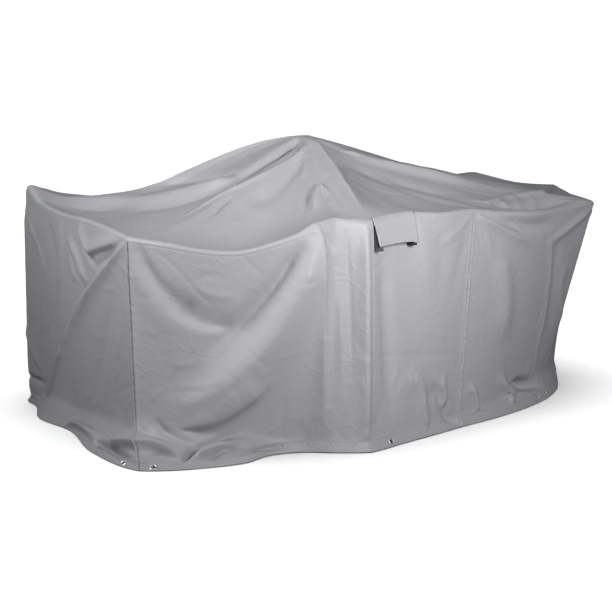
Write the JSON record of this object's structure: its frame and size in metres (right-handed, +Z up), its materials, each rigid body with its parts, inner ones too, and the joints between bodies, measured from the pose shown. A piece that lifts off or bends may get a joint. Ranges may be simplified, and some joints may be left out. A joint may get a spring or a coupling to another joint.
{
  "type": "patio furniture cover",
  "caption": "Rectangular fitted cover of grey coated cloth, draped hollow from a raised peak, with a vent hood, sewn corners and a hem with eyelets.",
  "frame": {"origin": "the floor point under the middle of the cover's bounding box", "axes": "+X along the cover's long side, towards its right end as seen from the vent hood's side; -Y towards the vent hood's side; +Z up"},
  "size_m": [2.5502, 1.8038, 1.1427],
  "materials": {
    "top_cloth": "light grey coated polyester, matt with a satin sheen, creased from its packing",
    "wall_cloth_left_end": "light grey coated polyester, matt with a satin sheen, creased from its packing",
    "wall_cloth_front": "light grey coated polyester, matt with a satin sheen, creased from its packing",
    "wall_cloth_right_end": "light grey coated polyester, matt with a satin sheen, creased from its packing",
    "wall_cloth_back": "light grey coated polyester, matt with a satin sheen, creased from its packing",
    "hem_cloth_left_end": "the same cloth, folded and stitched",
    "hem_cloth_front": "the same cloth, folded and stitched",
    "hem_cloth_right_end": "the same cloth, folded and stitched",
    "hem_cloth_back": "the same cloth, folded and stitched",
    "eyelet_metal": "bright rolled eyelet",
    "flap_cloth": "the same cloth as the walls",
    "gusset_cloth": "dark air mesh in the side of the vent hood",
    "prop_plastic": "black moulded block"
  },
  "bodies": {
    "root": {"top_panel": "top_cloth", "wall_left_end": "wall_cloth_left_end", "wall_front": "wall_cloth_front", "wall_right_end": "wall_cloth_right_end", "wall_back": "wall_cloth_back", "hem_left_end": "hem_cloth_left_end", "hem_front": "hem_cloth_front", "hem_right_end": "hem_cloth_right_end", "hem_back": "hem_cloth_back", "eyelet_01": "eyelet_metal", "eyelet_02": "eyelet_metal", "eyelet_03": "eyelet_metal", "eyelet_04": "eyelet_metal", "eyelet_05": "eyelet_metal", "eyelet_06": "eyelet_metal", "eyelet_07": "eyelet_metal", "eyelet_08": "eyelet_metal", "eyelet_09": "eyelet_metal", "eyelet_10": "eyelet_metal", "vent_flap": "flap_cloth", "vent_gusset": "gusset_cloth", "vent_prop": "prop_plastic"}
  },
  "joints": []
}
